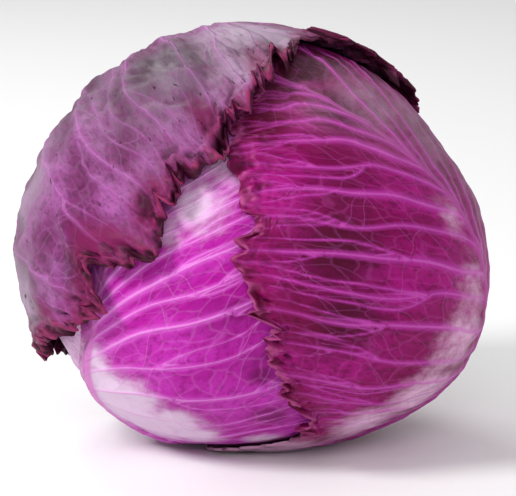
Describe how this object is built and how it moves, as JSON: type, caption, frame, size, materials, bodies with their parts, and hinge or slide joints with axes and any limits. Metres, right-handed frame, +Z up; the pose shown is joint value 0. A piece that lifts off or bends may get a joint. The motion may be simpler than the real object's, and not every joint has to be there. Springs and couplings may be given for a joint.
{
  "type": "red cabbage head",
  "caption": "Head of red cabbage: a cut stalk, a dense inner head and outer leaves with ribs, side veins and crumpled edges, lying on a small flat foot.",
  "frame": {"origin": "middle of the head's box, on the surface that it lies on", "axes": "+Z up from that surface, +X along the head's widest way, to the viewer's right when the open edges of the leaves face the viewer, -Y towards that viewer"},
  "size_m": [0.1594, 0.1579, 0.1435],
  "materials": {
    "stalk": "cut white-cream stalk, moist and fibrous, slightly browned",
    "inner_leaf": "pale pink-violet leaf, smooth and waxy",
    "leaf": "magenta-purple leaf with pale pink veins, smooth cuticle with a soft sheen",
    "bloomed_leaf": "grey-violet wax bloom over dull purple, with pink veins and a dark crumpled edge"
  },
  "bodies": {
    "root": {"stalk": "stalk", "inner_head": "inner_leaf", "leaf_left": "inner_leaf", "leaf_back": "leaf", "leaf_front": "leaf", "leaf_right": "leaf", "leaf_top": "bloomed_leaf"}
  },
  "joints": []
}
